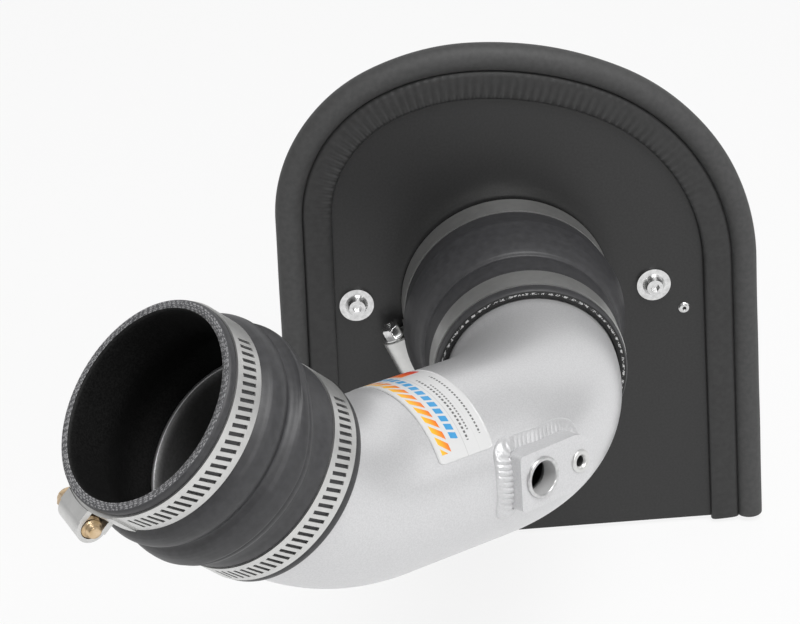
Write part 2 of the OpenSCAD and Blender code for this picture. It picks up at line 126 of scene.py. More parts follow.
def node(m, kind, **values):
    """Adds one shader node and sets its sockets or properties by name."""
    n = m.node_tree.nodes.new(kind)
    for key, value in values.items():
        key = key.replace("_", " ").title() if key not in dir(n) else key
        if key in n.inputs:
            n.inputs[key].default_value = value
        else:
            setattr(n, key, value)
    return n


def wire(m, a, b):
    """Links output a to input b."""
    m.node_tree.links.new(a, b)


def speckle(m, b, scale, low, high, bump=0.0, detail=3.0, distance=0.0002):
    """Cloudy colour between low and high, and a fine bump, both from noise on Object coordinates."""
    t = node(m, "ShaderNodeTexCoord")
    n = node(m, "ShaderNodeTexNoise", scale=scale, detail=detail)
    r = node(m, "ShaderNodeValToRGB")
    r.color_ramp.elements[0].position = 0.35
    r.color_ramp.elements[1].position = 0.65
    r.color_ramp.elements[0].color = (*low, 1)
    r.color_ramp.elements[1].color = (*high, 1)
    wire(m, t.outputs["Object"], n.inputs["Vector"])
    wire(m, n.outputs["Fac"], r.inputs["Fac"])
    wire(m, r.outputs["Color"], b.inputs["Base Color"])
    if bump:
        f = node(m, "ShaderNodeTexNoise", scale=scale * 1.7, detail=2.0)
        u = node(m, "ShaderNodeBump", strength=bump, distance=distance)
        wire(m, t.outputs["Object"], f.inputs["Vector"])
        wire(m, f.outputs["Fac"], u.inputs["Height"])
        wire(m, u.outputs["Normal"], b.inputs["Normal"])


def tone(value, tint=(1, 1, 1)):
    """A grey of that value, or a tinted one."""
    return tuple(value * t for t in tint)


tube_coat, s = material("silver_powder_coat", tone(0.66), 0.34, 0.55)
speckle(tube_coat, s, 1500, tone(0.635, (1, 1, 1.012)), tone(0.70, (1, 1, 1.012)), 0.06, 2.0, 0.0001)

# tube inner wall: a grey darker than bare aluminium, as painted shade inside the tube
tube_inside_painted_shade, s = material("tube_inside_painted_shade", tone(0.20), 0.5, 0.5)
speckle(tube_inside_painted_shade, s, 900, tone(0.18), tone(0.22), 0.1)

shield_coat, s = material("charcoal_powder_coat", tone(0.02), 0.36, 0.0)
speckle(shield_coat, s, 900, tone(0.015), tone(0.021), 0.12, 2.0, 0.0001)

seal_rubber, s = material("sponge_rubber", tone(0.04), 0.62)
speckle(seal_rubber, s, 420, tone(0.048), tone(0.060), 0.10)

grip_rubber, s = material("grip_rubber", tone(0.024), 0.46)
speckle(grip_rubber, s, 420, tone(0.020), tone(0.027), 0.10)

hose_rubber, s = material("hose_rubber", tone(0.045), 0.46)
speckle(hose_rubber, s, 330, tone(0.032, (1, 1, 1.07)), tone(0.043, (1, 1, 1.07)), 0.10)

# hose inner wall: the same rubber painted far darker, as painted shade inside the hose
hose_inside_painted_shade, s = material("hose_inside_painted_shade", tone(0.012), 0.6)
speckle(hose_inside_painted_shade, s, 1400, tone(0.002), tone(0.010), 0.3, 1.0)
s.inputs["Specular IOR Level"].default_value = 0.25


def calc(m, op, *values):
    """One maths node; each value is a number or another node's output."""
    n = m.node_tree.nodes.new("ShaderNodeMath")
    n.operation = op
    for k, v in enumerate(values):
        if isinstance(v, (int, float)):
            n.inputs[k].default_value = v
        else:
            wire(m, v, n.inputs[k])
    return n.outputs["Value"]


def lay(m, under, mask, over):
    """Colour over on colour under where the mask is 1."""
    n = m.node_tree.nodes.new("ShaderNodeMix")
    n.data_type = "RGBA"
    wire(m, mask, n.inputs[0])
    for socket, value in ((n.inputs[6], under), (n.inputs[7], over)):
        if isinstance(value, tuple):
            socket.default_value = (*value, 1)
        else:
            wire(m, value, socket)
    return n.outputs[2]


def cut_face(name, rubber, thread, rows, count, share, long):
    """End of a wrapped hose: round the axis, rows of pale thread ends show in the dark rubber. The map
    "across" gives the place in the end's own plane in millimetres, so angle and radius come from it."""
    m, b = material(name, rubber, 0.62)
    at = node(m, "ShaderNodeUVMap")
    at.uv_map = "across"
    noise = node(m, "ShaderNodeTexNoise", scale=0.9, detail=2.0)
    wire(m, at.outputs["UV"], noise.inputs["Vector"])
    split = node(m, "ShaderNodeSeparateXYZ")
    wire(m, at.outputs["UV"], split.inputs["Vector"])
    x, y = split.outputs["X"], split.outputs["Y"]
    radius = calc(m, "SQRT", calc(m, "ADD", calc(m, "MULTIPLY", x, x), calc(m, "MULTIPLY", y, y)))
    shift = calc(m, "SUBTRACT", noise.outputs["Fac"], 0.5)
    turns = calc(m, "DIVIDE", calc(m, "ARCTAN2", y, x), 2 * math.pi)
    color = rubber
    for k, at_r in enumerate(rows):
        step = calc(m, "ADD", calc(m, "MULTIPLY", turns, count + 4 * k),
                    calc(m, "ADD", calc(m, "MULTIPLY", shift, 2.2), calc(m, "MULTIPLY", radius, 0.25)))
        along = calc(m, "LESS_THAN", calc(m, "FRACT", calc(m, "ADD", step, 40.37 * (k + 1))), long)
        across = calc(m, "LESS_THAN", calc(m, "ABSOLUTE", calc(m, "SUBTRACT",
                      calc(m, "ADD", radius, calc(m, "MULTIPLY", shift, 0.9)), at_r)), share)
        color = lay(m, color, calc(m, "MULTIPLY", along, across), thread)
    wire(m, color, b.inputs["Base Color"])
    bump = node(m, "ShaderNodeBump", strength=0.3, distance=0.0002)
    wire(m, noise.outputs["Fac"], bump.inputs["Height"])
    wire(m, bump.outputs["Normal"], b.inputs["Normal"])
    return m


front_cut = cut_face("hose_cut_front", tone(0.085, (1, 1, 1.06)), tone(0.34, (1, 1, 1.02)),
                     (38.9, 39.7, 40.5, 41.3), 96, 0.27, 0.5)
rear_cut = cut_face("hose_cut_rear", tone(0.012), tone(0.50), (40.7,), 72, 0.42, 0.42)

clamp_steel, s = material("clamp_steel", tone(0.66), 0.40, 0.94)
speckle(clamp_steel, s, 240, tone(0.64, (1, 1, 0.985)), tone(0.69, (1, 1, 0.985)))

gold_zinc, s = material("yellow_zinc", (0.7, 0.5, 0.2), 0.3, 1.0)
speckle(gold_zinc, s, 300, (0.60, 0.43, 0.24), (0.78, 0.60, 0.40), 0.05)

white_zinc, s = material("white_zinc", tone(0.7), 0.25, 1.0)
speckle(white_zinc, s, 400, tone(0.62), tone(0.78), 0.04)

machined, s = material("machined_aluminium", tone(0.62), 0.32, 0.9)
speckle(machined, s, 600, tone(0.56), tone(0.68), 0.05)

insert_zinc, s = material("insert_zinc", (0.70, 0.70, 0.69), 0.36, 0.8)
bore_satin, s = material("bore_satin", tone(0.62), 0.5, 0.3)
# near-black finish for the insert's bore and the rivet's hole: painted shade in these holes
painted_recess_shade, s = material("dark_recess", tone(0.05), 0.5, 0.6)
filter_rubber, s = material("filter_rubber", tone(0.03), 0.45)
speckle(filter_rubber, s, 300, tone(0.024), tone(0.036), 0.1)

FINISH = {
    "shield_plate": shield_coat, "edge_seal": seal_rubber,
    "shield_bolt_left": white_zinc, "shield_bolt_right": white_zinc,
    "shield_washer_left": white_zinc, "shield_washer_right": white_zinc,
    "shield_nut_left": white_zinc, "shield_nut_right": white_zinc,
    "shield_rivet": white_zinc, "intake_pipe": tube_coat, "sensor_pad": tube_coat,
    "pad_weld": tube_coat, "sensor_grommet": machined, "sensor_insert": insert_zinc,
    "pipe_label": tube_coat, "throttle_hose": hose_rubber, "filter_hose": hose_rubber,
    "filter_adapter": machined, "filter_base": filter_rubber,
    "filter_media": filter_rubber, "filter_cap": filter_rubber,
}
for clamp in ("throttle", "tube", "elbow", "spigot", "filter"):
    FINISH[clamp + "_band"] = clamp_steel
    FINISH[clamp + "_housing"] = clamp_steel
    FINISH[clamp + "_screw"] = gold_zinc if clamp in ("throttle", "tube") else white_zinc

for name, finish in FINISH.items():
    mesh = nodes[name].data
    mesh.materials.clear()
    mesh.materials.append(finish)


# ---------------------------------------------------------------- surfaces
def new_piece(name, points, faces, finishes, slots=None, replace=(), uv=None, uv_name="print"):
    """One mesh from points in millimetres; its callers turn closed ones so that the faces point outwards."""
    mesh = bpy.data.meshes.new(name)
    mesh.from_pydata((np.asarray(points) * MM).tolist(), [], [list(f) for f in faces])
    mesh.polygons.foreach_set("use_smooth", np.ones(len(mesh.polygons), bool))
    for finish in finishes:
        mesh.materials.append(finish)
    if slots is not None:
        mesh.polygons.foreach_set("material_index", np.asarray(slots, np.int32))
    if uv is not None:
        layer = mesh.uv_layers.new(name=uv_name)
        corner = np.zeros(len(mesh.loops), np.int32)
        mesh.loops.foreach_get("vertex_index", corner)
        layer.data.foreach_set("uv", np.asarray(uv, np.float32)[corner].ravel())
    mesh.update()
    o = bpy.data.objects.new(name, mesh)
    bpy.context.scene.collection.objects.link(o)
    if replace:
        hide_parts(*replace)
    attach(o, "root")
    return o


def outward(points, faces):
    """The same faces, all turned round if the volume they enclose comes out negative."""
    p = np.asarray(points)
    f = np.array([[q[0], q[i], q[i + 1]] for q in faces for i in range(1, len(q) - 1)])
    volume = np.einsum("ij,ij->i", p[f[:, 0]], np.cross(p[f[:, 1]], p[f[:, 2]])).sum()
    return [q[::-1] for q in faces] if volume < 0 else faces


def grid_faces(rows, cols, close_rows=False, close_cols=True, base=0):
    """Quads of a grid whose point (i, j) has index base + i * cols + j; a closed side wraps round."""
    i = np.arange(rows if close_rows else rows - 1)
    j = np.arange(cols if close_cols else cols - 1)
    i, j = np.meshgrid(i, j, indexing="ij")
    i2, j2 = (i + 1) % rows, (j + 1) % cols
    q = np.stack([i * cols + j, i2 * cols + j, i2 * cols + j2, i * cols + j2], -1)
    return (q.reshape(-1, 4) + base).tolist()


def smooth_line(knots, steps):
    """Points along a polyline of (r, z) knots, cut into short steps and rounded by a small running mean."""
    k = np.array(knots, float)
    run = np.concatenate([[0], np.cumsum(np.linalg.norm(np.diff(k, axis=0), axis=1))])
    t = np.linspace(0, run[-1], steps)
    line = np.stack([np.interp(t, run, k[:, c]) for c in (0, 1)], 1)
    soft = line.copy()
    soft[1:-1] = (line[:-2] + 2 * line[1:-1] + line[2:]) / 4
    return soft


def turned(profile, count, shift=None):
    """A closed (r, z) profile turned about Z: point = (r cos a, r sin a, z), after shift(a, r, z) is
    added to r."""
    a = np.linspace(0, 2 * np.pi, count, endpoint=False)
    r = np.repeat(profile[:, :1], count, 1)
    z = np.repeat(profile[:, 1:], count, 1)
    if shift is not None:
        r = r + shift(a[None, :], r, z)
    p = np.stack([r * np.cos(a), r * np.sin(a), z], -1).reshape(-1, 3)
    return p, grid_faces(len(profile), count, close_rows=True)


# ---------------------------------------------------------------- throttle hose
HOSE_ROUND = 320
TILT_SIDE, TILT_RISE = 350.0, 5.6
TILT_NONE, TILT_FADE = 80.0, 50.0
TILT_Z = (18.5, 26.5, 34.5, 43.5)
FRONT_OUTSIDE = [
    (41.55, 75.4), (42.1, 75.0), (42.45, 74.2), (42.55, 73.2), (42.5, 72.6), (42.25, 72.1), (42.25, 66.0),
    (42.25, 59.3), (42.3, 58.7), (43.2, 57.8), (44.6, 56.6), (45.5, 55.4), (46.1, 53.8), (46.4, 52.0),
    (46.4, 50.4), (46.1, 48.8), (45.5, 47.4), (44.7, 46.3), (44.0, 45.5), (43.7, 44.9), (43.8, 44.3),
    (44.5, 43.5), (45.7, 42.4), (46.7, 41.0), (47.3, 39.4), (47.65, 37.4), (47.8, 35.4), (47.8, 34.0),
    (47.65, 33.3), (47.3, 32.95), (46.8, 32.7), (46.75, 32.4), (47.0, 32.0), (47.0, 31.2), (46.7, 30.4),
    (46.2, 29.6), (45.2, 29.0), (44.2, 28.4), (43.5, 27.4), (43.1, 25.6), (42.95, 23.0), (43.0, 21.0),
    (42.95, 19.6), (42.8, 18.0), (42.3, 17.1), (42.25, 11.0), (42.25, 4.3), (42.7, 3.7), (42.8, 2.2),
    (42.5, 0.7), (41.8, 0.0),
]
FRONT_INSIDE = [
    (39.0, 0.0), (38.2, 0.6), (38.15, 8.0), (38.15, 21.0), (38.6, 24.0), (40.6, 29.0),
    (42.4, 34.0), (43.2, 38.0), (42.6, 42.0), (41.0, 46.6), (39.2, 51.0), (38.3, 54.8),
    (38.15, 58.0), (38.15, 70.0), (38.2, 74.6), (38.7, 75.4),
]


def throttle_hose():
    """Hump hose: profile point (r, z) at angle a goes to (r cos a, r sin a, z + lift). The lift draws the
    hump's rear edge forward on one side: TILT_RISE times a smooth step of the angle's distance from
    TILT_SIDE, times a smooth step along z that is 1 on that edge and 0 past the ends of TILT_Z."""
    outside = smooth_line(FRONT_OUTSIDE, 250)
    inside = smooth_line(FRONT_INSIDE, 45)
    profile = np.concatenate([outside, inside])

    def sag(a, r, z):
        """Two faint waves of the angle, strongest at the hump's middle."""
        hump = np.exp(-((z - 40.0) / 9.0) ** 2)
        return hump * (0.05 * np.sin(3 * a + 1.0) + 0.03 * np.sin(7 * a)) * (r > 44)

    p, f = turned(profile, HOSE_ROUND, sag)
    a = np.degrees(np.arctan2(p[:, 1], p[:, 0]))
    off = np.abs((a - TILT_SIDE + 180.0) % 360.0 - 180.0)
    rise = np.clip((TILT_NONE - off) / TILT_FADE, 0, 1)
    reach = np.interp(p[:, 2], TILT_Z, [0.0, 1.0, 1.0, 0.0])
    p[:, 2] += TILT_RISE * rise ** 2 * (3 - 2 * rise) * reach ** 2 * (3 - 2 * reach)
    f = outward(p, f)
    rows = np.repeat(np.arange(len(profile)), HOSE_ROUND)
    # inner rows take the inside finish, which is painted shade
    slots = np.where(rows >= len(outside), 1, 0)
    slots[(rows == len(profile) - 1) | (rows == 0)] = 2
    slots[rows == len(outside) - 1] = 2
    new_piece("hose_throttle_side", at_end.put(p), f, [hose_rubber, hose_inside_painted_shade, front_cut],
              slots, ["throttle_hose"], p[:, :2], "across")


throttle_hose()

# ---------------------------------------------------------------- filter hose
shield_front = Place([0, 0, 0], turn_x(90))
REAR_OUTSIDE = [
    (47.2, 0.2), (48.1, 0.9), (48.4, 1.6), (48.2, 2.2), (48.15, 8.0), (48.15, 14.6),
    (48.7, 15.3), (49.2, 17.0), (49.7, 21.0), (50.3, 25.0), (50.8, 28.6), (50.9, 30.6),
    (50.5, 32.8), (49.9, 36.5), (48.9, 41.0), (47.5, 45.8), (46.1, 49.6), (45.3, 51.2),
    (44.7, 51.7), (43.9, 52.0), (43.6, 52.6), (43.75, 53.3), (44.1, 54.2), (44.05, 55.6), (43.5, 60.0),
    (43.0, 63.0), (42.9, 65.2),
    (42.3, 65.9), (42.25, 72.0), (42.25, 78.6), (42.7, 79.2), (42.8, 80.6), (42.6, 83.2),
    (41.9, 84.2),
]
REAR_INSIDE = [
    (38.7, 84.2), (38.15, 83.6), (38.15, 70.0), (38.15, 53.0), (40.4, 46.0), (44.6, 36.5),
    (45.8, 31.0), (45.2, 26.0), (44.5, 24.0), (44.5, 12.0), (44.5, 1.0), (45.0, 0.2),
]


def filter_hose():
    """Stepped hose: a profile turned about the shield's hole axis, with faint waves on the swell."""
    outside = smooth_line(REAR_OUTSIDE, 230)
    inside = smooth_line(REAR_INSIDE, 40)
    profile = np.concatenate([outside, inside])

    def sag(a, r, z):
        """Two faint waves of the angle, strongest on the swell."""
        swell = np.exp(-((z - 38.0) / 12.0) ** 2)
        return swell * (0.05 * np.sin(4 * a + 0.5) + 0.03 * np.sin(9 * a)) * (r > 44)

    p, f = turned(profile, HOSE_ROUND, sag)
    f = outward(p, f)
    rows = np.repeat(np.arange(len(profile)), HOSE_ROUND)
    # inner rows take the inside finish, which is painted shade
    slots = np.where(rows >= len(outside), 1, 0)
    slots[(rows == len(profile) - 1) | (rows == len(outside) - 1)] = 2
    new_piece("hose_filter_side", shield_front.put(p), f, [hose_rubber, hose_inside_painted_shade, rear_cut],
              slots, ["filter_hose"], p[:, :2], "across")


filter_hose()


# ---------------------------------------------------------------- edge seal
EDGE_LEFT, EDGE_DOWN, SIDE_UP = 92.8, 129.5, 45.1
LEAN = 3.2


def edge_path(step):
    """The shield's free edge from bottom left over the top to bottom right: points and outward directions."""
    turn1, turn3 = math.radians(66.0), math.radians(25.0)
    r1, r2, r3, r4 = 64.1, 97.1, 147.1, 103.1
    c1 = np.array([-EDGE_LEFT + r1, SIDE_UP])
    c2 = c1 + (r2 - r1) * np.array([math.cos(turn1), -math.sin(turn1)])
    c3 = c2 - np.array([0, r3 - r2])
    c4 = c3 + (r3 - r4) * np.array([math.sin(turn3), math.cos(turn3)])
    lean = math.radians(LEAN)
    pieces = []
    up = np.arange(0, EDGE_DOWN + SIDE_UP, step)
    pieces.append((np.stack([np.full_like(up, -EDGE_LEFT), -EDGE_DOWN + up], 1),
                   np.tile([-1.0, 0.0], (len(up), 1))))
    for c, r, a0, a1 in ((c1, r1, np.pi, np.pi - turn1), (c2, r2, np.pi - turn1, np.pi / 2),
                         (c3, r3, np.pi / 2, np.pi / 2 - turn3), (c4, r4, np.pi / 2 - turn3, lean)):
        a = np.linspace(a0, a1, max(4, int(abs(a1 - a0) * r / step)), endpoint=False)
        d = np.stack([np.cos(a), np.sin(a)], 1)
        pieces.append((c + r * d, d))
    p5 = c4 + r4 * np.array([math.cos(lean), math.sin(lean)])
    down = np.linspace(0, (p5[1] + EDGE_DOWN) / math.cos(lean), int((p5[1] + EDGE_DOWN) / step))
    pieces.append((p5 + np.outer(down, [math.sin(lean), -math.cos(lean)]),
                   np.tile([math.cos(lean), math.sin(lean)], (len(down), 1))))
    return np.concatenate([q[0] for q in pieces]), np.concatenate([q[1] for q in pieces])


def swept(path, out, section, close_ends=True):
    """A closed section (outward g, forward h), which may change along the path, carried along the edge."""
    g, h = section[..., 0], section[..., 1]
    xy = path[:, None, :] + g[..., None] * out[:, None, :]
    p = np.concatenate([xy, h[..., None]], -1)
    n, m = p.shape[:2]
    f = grid_faces(n, m)
    if close_ends:
        f += [list(range(m))[::-1], [(n - 1) * m + j for j in range(m)]]
    return p.reshape(-1, 3), f


GRIP = [(-12.9, 0.0), (-13.0, 0.9), (-12.9, 1.9), (-12.4, 2.7), (-11.4, 3.15), (-9.6, 3.35),
        (-7.6, 3.42), (-5.6, 3.44), (-3.6, 3.40), (-1.8, 3.25), (-0.5, 2.9), (0.4, 2.2), (0.8, 1.2),
        (0.9, -1.0), (0.8, -3.2), (0.4, -4.2), (-0.5, -4.9), (-1.8, -5.2), (-5.6, -5.35),
        (-9.6, -5.3), (-11.4, -5.1), (-12.4, -4.7), (-12.9, -3.9), (-13.0, -2.9), (-12.9, -2.05),
        (-6.0, -2.05), (-0.15, -2.05), (-0.15, 0.05), (-6.0, 0.05)]


def edge_seal():
    """Gripping strip with cross ribs, and a hollow bulb, both carried along the shield's free edge."""
    path, out = edge_path(0.45)
    run = np.concatenate([[0], np.cumsum(np.linalg.norm(np.diff(path, axis=0), axis=1))])
    g = np.array(GRIP)
    section = np.tile(g, (len(path), 1, 1))
    front = (g[:, 1] > 2.0).astype(float)
    inner = np.clip((-3.0 - g[:, 0]) / 6.0, 0, 1)
    bead = np.exp(-((g[:, 0] + 11.6) / 0.9) ** 2) * front
    bent = np.clip((run - 150) / 60, 0, 1) * np.clip((440 - run) / 60, 0, 1)
    wave = np.clip(0.5 + 0.9 * np.cos(2 * np.pi * run / 4.0), 0, 1)
    section[:, :, 1] -= ((1 - wave) * (0.04 + 0.36 * bent))[:, None] * (front * (0.35 + 0.65 * inner))[None]
    section[:, :, 1] += (wave * 0.35 * bent)[:, None] * bead[None]
    p1, f1 = swept(path, out, section)
    f1 = outward(p1, f1)

    path2, out2 = edge_path(1.6)
    run2 = np.concatenate([[0], np.cumsum(np.linalg.norm(np.diff(path2, axis=0), axis=1))])
    a = np.linspace(0, 2 * np.pi, 56, endpoint=False)
    ripple = 0.05 * np.sin(run2 / 21.0) + 0.04 * np.sin(run2 / 7.3 + 1.0)

    def ring(radius):
        """The bulb's round section in (outward, forward), with the ripple of each station."""
        g = 6.4 + (radius + ripple[:, None]) * np.cos(a)[None]
        h = -1.0 + (radius + ripple[:, None]) * np.sin(a)[None]
        return np.stack([g, h], -1)

    p2, f2 = swept(path2, out2, ring(6.3), False)
    p3, f3 = swept(path2, out2, ring(4.4), False)
    n, m = len(path2), len(a)
    ends = []
    for row, flip in ((0, False), (n - 1, True)):
        for j in range(m):
            k = (j + 1) % m
            q = [row * m + j, row * m + k, n * m + row * m + k, n * m + row * m + j]
            ends.append(q[::-1] if flip else q)
    f3 = [[v + n * m for v in q[::-1]] for q in f3]
    tube = outward(np.concatenate([p2, p3]), f2 + f3 + ends)
    k = len(p1)
    points = np.concatenate([p1, p2, p3])
    faces = f1 + [[v + k for v in q] for q in tube]
    slots = np.repeat([1, 0], [len(f1), len(tube)])
    new_piece("seal_bulb_and_grip", shield_front.put(points), faces, [seal_rubber, grip_rubber],
              slots, ["edge_seal"])


edge_seal()


# ---------------------------------------------------------------- clamp screws
def clamp_screw(name, place, radius, finish, cad):
    """Worm with a real thread, a flange and a slotted hexagon head, turned about a tangent to the hose."""
    axis = radius + 2 * 0.85 + 4.4 + 0.1
    at = place.then([axis, 0, 6.35], turn_x(90))
    a = np.linspace(0, 2 * np.pi, 60, endpoint=False)
    z = np.arange(-10.1, 8.5, 0.16)
    za, aa = np.meshgrid(z, a, indexing="ij")
    phase = (za / 3.2 + aa / (2 * np.pi)) % 1.0
    tooth = np.clip(2.2 * np.abs(phase - 0.5) - 0.15, 0, 0.75) / 0.75
    fade = np.clip((za + 10.1) / 1.2, 0, 1)
    r = 3.3 + 1.05 * (1 - tooth) * fade
    parts = [(np.stack([r * np.cos(aa), r * np.sin(aa), za], -1))]
    ends = [(0.01, -11.7), (2.4, -11.7), (2.64, -11.4), (2.64, -10.15)]
    first = np.array([[[q * math.cos(t), q * math.sin(t), w] for t in a] for q, w in ends])
    hexa = 4.0 / np.cos((a + np.pi / 6) % (np.pi / 3) - np.pi / 6)
    head = []
    for q, w in ((4.4, 8.5), (4.9, 8.52), (5.2, 8.8), (5.2, 9.5), (5.0, 9.8)):
        head.append(np.stack([q * np.cos(a), q * np.sin(a), np.full_like(a, w)], -1))
    for k, w in ((1.0, 9.85), (1.0, 14.0), (0.97, 14.4)):
        q = np.minimum(hexa * k, 4.62 if w < 14.2 else 4.25)
        head.append(np.stack([q * np.cos(a), q * np.sin(a), np.full_like(a, w)], -1))
    for q in np.linspace(3.9, 0.02, 26):
        x, y = q * np.cos(a), q * np.sin(a)
        deep = np.clip((0.62 - np.abs(x)) / 0.12, 0, 1)
        head.append(np.stack([x, y, 14.8 - 1.6 * deep], -1))
    rings = np.concatenate([first, parts[0], np.array(head)])
    p = rings.reshape(-1, 3)
    f = grid_faces(len(rings), len(a))
    n = len(p)
    f += [list(range(len(a)))[::-1], list(range(n - len(a), n))]
    f = outward(p, f)
    new_piece(name, at.put(p), f, [finish], None, [cad])


CLAMPS = {
    "throttle": (at_end.then([0, 0, 59.2], turn_z(165)), 42.3),
    "tube": (at_end.then([0, 0, 4.3], turn_z(84)), 42.3),
    "elbow": (shield_front.then([0, 0, 65.9], turn_z(280)), 42.3),
    "spigot": (shield_front.then([0, 0, 2.0], turn_z(204)), 48.25),
    "filter": (shield_front.then([0, 0, -29.9], turn_z(120)), 48.65),
}
for clamp, (place, radius) in CLAMPS.items():
    clamp_screw("worm_" + clamp, place, radius,
                gold_zinc if clamp in ("throttle", "tube") else white_zinc, clamp + "_screw")


# ---------------------------------------------------------------- sensor pad weld
def tube_distance(points):
    """Distance of points to the tube's centre line: straight, bend, straight, bend, straight."""
    p = np.asarray(points, float)
    best = np.full(len(p), 1e9)
    for place, low, high in ((at_start, -30.0, 0.0), (at_mid, 0.0, MID_LEN), (at_end, 0.0, 30.0)):
        q = (p - place.origin) @ place.turn
        z = np.clip(q[:, 2], low, high)
        best = np.minimum(best, np.sqrt(q[:, 0] ** 2 + q[:, 1] ** 2 + (q[:, 2] - z) ** 2))
    for place, deg in ((at_start, BEND_1), (at_second, BEND_2)):
        q = (p - place.origin) @ place.turn
        a = np.clip(np.arctan2(q[:, 2], BEND_R - q[:, 0]), 0, math.radians(deg))
        c = np.stack([BEND_R - BEND_R * np.cos(a), 0 * a, BEND_R * np.sin(a)], 1)
        best = np.minimum(best, np.linalg.norm(q - c, axis=1))
    return best


def tube_normal(points):
    """Direction away from the centre line, from small differences of the distance."""
    e = 0.01
    grad = np.stack([tube_distance(points + e * d) - tube_distance(points - e * d)
                     for d in np.eye(3)], 1)
    return grad / np.linalg.norm(grad, axis=1)[:, None]


at_pad = round_bend(at_start, 53.0).then([0, 0, 0], turn_z(190.5) @ turn_y(90))


def pad_outline(step):
    """The pad's outline in its own plane: square corners of 2 mm at one end, a half circle at the other."""
    pts = []
    for cx, cy, r, a0, a1 in ((9.0, 0.0, 12.0, -90, 90), (-19.0, 10.0, 2.0, 90, 180),
                              (-19.0, -10.0, 2.0, 180, 270)):
        a = np.radians(np.linspace(a0, a1, 40))
        pts.append(np.stack([cx + r * np.cos(a), cy + r * np.sin(a)], 1))
    k = np.concatenate(pts + [pts[0][:1]])
    run = np.concatenate([[0], np.cumsum(np.linalg.norm(np.diff(k, axis=0), axis=1))])
    t = np.linspace(0, run[-1], int(run[-1] / step), endpoint=False)
    xy = np.stack([np.interp(t, run, k[:, c]) for c in (0, 1)], 1)
    side = np.roll(xy, -1, 0) - np.roll(xy, 1, 0)
    side /= np.linalg.norm(side, axis=1)[:, None]
    return xy, np.stack([side[:, 1], -side[:, 0]], 1), t


def pad_weld():
    """Weld bead in the corner of pad and tube. At share t of its width (0 at the pad's wall, 1 at its foot)
    the bead stands height * (1 - t^2)^0.7 above the tube, less the ripples, which are crescents: the
    sine's place lags with t^2. Width and height follow the side: broad at the square end, flat on top."""
    xy, out, run = pad_outline(0.22)
    low, high = np.full(len(xy), 20.0), np.full(len(xy), 44.0)
    for _ in range(36):
        mid = (low + high) / 2
        inside = tube_distance(at_pad.put(np.column_stack([xy, mid]))) < TUBE_R
        low, high = np.where(inside, mid, low), np.where(inside, high, mid)
    base = at_pad.put(np.column_stack([xy, low]))
    wall = np.column_stack([out, np.zeros(len(out))]) @ at_pad.turn.T
    away = tube_normal(base)
    along = wall - away * np.einsum("ij,ij->i", wall, away)[:, None]
    along /= np.linalg.norm(along, axis=1)[:, None]
    end = np.clip((-15.5 - xy[:, 0]) / 4.0, 0, 1)
    top = np.clip((xy[:, 1] - 6.0) / 4.0, 0, 1) * (1 - end)
    wide = 2.3 + 4.0 * end + 2.9 * top + 0.25 * np.sin(run / 2.9)
    tall = 1.9 + 1.1 * end - 1.35 * top + 0.12 * np.sin(run / 1.9 + 1)
    soft = np.ones(15) / 15
    wide, tall = (np.convolve(np.concatenate([q[-7:], q, q[:7]]), soft, "valid") for q in (wide, tall))
    t = np.linspace(1, 0, 20)
    lag = run[:, None] + (1.0 + 1.5 * top + 0.6 * end)[:, None] * t[None] ** 2
    ripple = np.abs(np.sin(np.pi * lag / 2.3)) ** 0.6
    q = base[:, None] + (wide[:, None] * t[None])[..., None] * along[:, None]
    flat = q.reshape(-1, 3)
    normal = tube_normal(flat)
    ground = flat + normal * (TUBE_R - tube_distance(flat))[:, None]
    rise = tall[:, None] * (1 - t[None] ** 2) ** 0.7 * (0.74 + 0.26 * ripple) + 0.02
    p = (ground + normal * rise.reshape(-1, 1)).reshape(q.shape)
    back = base - 0.5 * wall - 0.5 * away
    foot = p[:, 0] - 0.6 * away
    rings = np.concatenate([foot[:, None], p, p[:, -1:] - 0.5 * wall[:, None], back[:, None]], 1)
    f = grid_faces(len(rings), rings.shape[1], close_rows=True)
    p = rings.reshape(-1, 3)
    new_piece("pad_weld_bead", p, outward(p, f), [tube_coat], None, ["pad_weld"])


pad_weld()

# ---------------------------------------------------------------- tube
TUBE_WALL, TUBE_OVER = 1.6, 30.0
TUBE_HOLE_R, DRILL_LOW, DRILL_HIGH, DRILL_ROUND = 7.85, 30.0, 44.0, 72


def tube_stations():
    """Frames along the centre line: every 5 mm on the straights and every degree in the bends."""
    stations = [at_start.then([0, 0, z]) for z in np.linspace(-TUBE_OVER, 0, 7)[:-1]]
    stations += [round_bend(at_start, d) for d in np.linspace(0, BEND_1, 57)[:-1]]
    stations += [at_mid.then([0, 0, z]) for z in np.linspace(0, MID_LEN, 12)[:-1]]
    back = turn_z(-ROLL_2)
    for place in ([round_bend(at_second, d) for d in np.linspace(0, BEND_2, 40)[:-1]]
                  + [at_end.then([0, 0, z]) for z in np.linspace(0, TUBE_OVER, 7)]):
        stations.append(place.then([0, 0, 0], back))
    return stations


